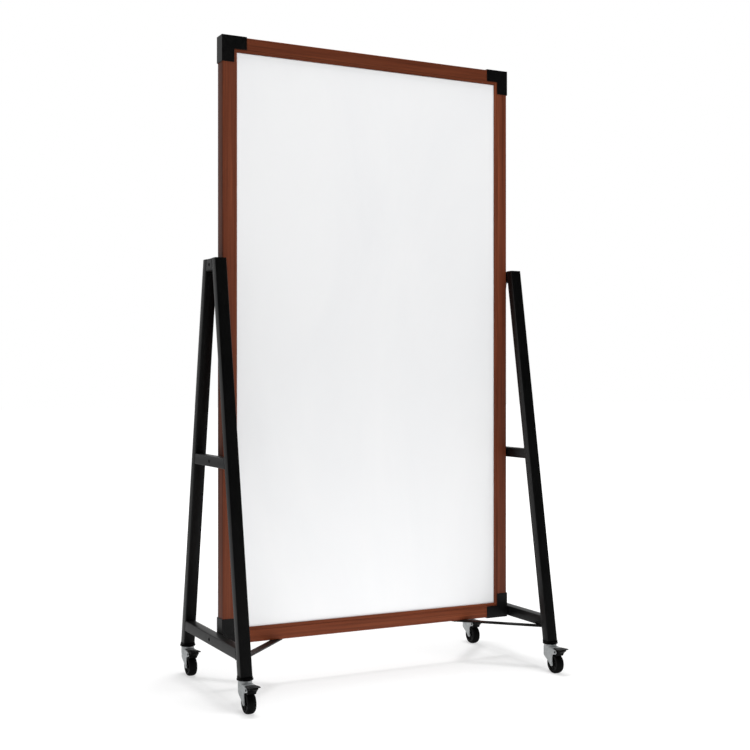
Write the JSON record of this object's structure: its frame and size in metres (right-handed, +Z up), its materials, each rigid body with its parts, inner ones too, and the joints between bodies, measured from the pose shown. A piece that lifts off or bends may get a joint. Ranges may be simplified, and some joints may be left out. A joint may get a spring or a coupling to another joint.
{
  "type": "rolling whiteboard",
  "caption": "Tall double-sided dry-erase board in a wood-look frame, bolted between two black tube A-frames that roll on swivel casters with brake pedals.",
  "frame": {"origin": "on the floor, under the centre of the footprint (bottom centre of the bounding box)", "axes": "+X across the board to the viewer's right, +Y through the board away from the viewer, +Z up"},
  "size_m": [1.0382, 0.57, 1.8733],
  "materials": {
    "white": "gloss",
    "core": "matte",
    "wood": "satin",
    "cap": "satin",
    "frame": "satin",
    "bolt": "satin",
    "plug": "satin",
    "zinc": "satin",
    "hub": "satin",
    "tyre": "matte",
    "pedal": "satin"
  },
  "bodies": {
    "stand": {"front_panel": "white", "rear_panel": "white", "board_core": "core", "left_stile": "wood", "right_stile": "wood", "top_rail": "wood", "bottom_rail": "wood", "top_left_cap": "cap", "top_right_cap": "cap", "bottom_left_cap": "cap", "bottom_right_cap": "cap", "left_front_leg": "frame", "left_rear_leg": "frame", "left_top_bar": "frame", "left_mid_bar": "frame", "left_lower_bar": "frame", "left_top_bolt": "bolt", "left_mid_bolt": "bolt", "left_lower_bolt": "bolt", "left_brace": "frame", "left_brace_screw": "bolt", "right_front_leg": "frame", "right_rear_leg": "frame", "right_top_bar": "frame", "right_mid_bar": "frame", "right_lower_bar": "frame", "right_top_bolt": "bolt", "right_mid_bolt": "bolt", "right_lower_bolt": "bolt", "right_brace": "frame", "right_brace_screw": "bolt", "front_left_leg_plug": "plug", "front_left_stem": "zinc", "front_right_leg_plug": "plug", "front_right_stem": "zinc", "rear_left_leg_plug": "plug", "rear_left_stem": "zinc", "rear_right_leg_plug": "plug", "rear_right_stem": "zinc"},
    "front_left_fork_body": {"front_left_fork": "zinc", "front_left_axle": "zinc"},
    "front_left_wheel_body": {"front_left_hub": "hub", "front_left_tyre": "tyre"},
    "front_left_pedal_body": {"front_left_brake_pedal": "pedal"},
    "front_right_fork_body": {"front_right_fork": "zinc", "front_right_axle": "zinc"},
    "front_right_wheel_body": {"front_right_hub": "hub", "front_right_tyre": "tyre"},
    "front_right_pedal_body": {"front_right_brake_pedal": "pedal"},
    "rear_left_fork_body": {"rear_left_fork": "zinc", "rear_left_axle": "zinc"},
    "rear_left_wheel_body": {"rear_left_hub": "hub", "rear_left_tyre": "tyre"},
    "rear_left_pedal_body": {"rear_left_brake_pedal": "pedal"},
    "rear_right_fork_body": {"rear_right_fork": "zinc", "rear_right_axle": "zinc"},
    "rear_right_wheel_body": {"rear_right_hub": "hub", "rear_right_tyre": "tyre"},
    "rear_right_pedal_body": {"rear_right_brake_pedal": "pedal"}
  },
  "joints": [
    {"name": "front_left_swivel", "type": "hinge", "parent": "stand", "child": "front_left_fork_body", "pos_m": [-0.49635, -0.21348, 0.0855], "axis": [0, 0, 1], "continuous": true},
    {"name": "front_left_roll", "type": "hinge", "parent": "front_left_fork_body", "child": "front_left_wheel_body", "pos_m": [-0.49635, -0.24098, 0.03], "axis": [1, 0, 0], "continuous": true},
    {"name": "front_left_brake", "type": "hinge", "parent": "front_left_fork_body", "child": "front_left_pedal_body", "pos_m": [-0.49635, -0.25898, 0.068], "axis": [1, 0, 0], "range_deg": [0, 13]},
    {"name": "front_right_swivel", "type": "hinge", "parent": "stand", "child": "front_right_fork_body", "pos_m": [0.49635, -0.21348, 0.0855], "axis": [0, 0, 1], "continuous": true},
    {"name": "front_right_roll", "type": "hinge", "parent": "front_right_fork_body", "child": "front_right_wheel_body", "pos_m": [0.49635, -0.24098, 0.03], "axis": [1, 0, 0], "continuous": true},
    {"name": "front_right_brake", "type": "hinge", "parent": "front_right_fork_body", "child": "front_right_pedal_body", "pos_m": [0.49635, -0.25898, 0.068], "axis": [1, 0, 0], "range_deg": [0, 13]},
    {"name": "rear_left_swivel", "type": "hinge", "parent": "stand", "child": "rear_left_fork_body", "pos_m": [-0.49635, 0.26228, 0.0855], "axis": [0, 0, 1], "continuous": true},
    {"name": "rear_left_roll", "type": "hinge", "parent": "rear_left_fork_body", "child": "rear_left_wheel_body", "pos_m": [-0.49635, 0.23478, 0.03], "axis": [1, 0, 0], "continuous": true},
    {"name": "rear_left_brake", "type": "hinge", "parent": "rear_left_fork_body", "child": "rear_left_pedal_body", "pos_m": [-0.49635, 0.21678, 0.068], "axis": [1, 0, 0], "range_deg": [0, 13]},
    {"name": "rear_right_swivel", "type": "hinge", "parent": "stand", "child": "rear_right_fork_body", "pos_m": [0.49635, 0.26228, 0.0855], "axis": [0, 0, 1], "continuous": true},
    {"name": "rear_right_roll", "type": "hinge", "parent": "rear_right_fork_body", "child": "rear_right_wheel_body", "pos_m": [0.49635, 0.23478, 0.03], "axis": [1, 0, 0], "continuous": true},
    {"name": "rear_right_brake", "type": "hinge", "parent": "rear_right_fork_body", "child": "rear_right_pedal_body", "pos_m": [0.49635, 0.21678, 0.068], "axis": [1, 0, 0], "range_deg": [0, 13]}
  ]
}
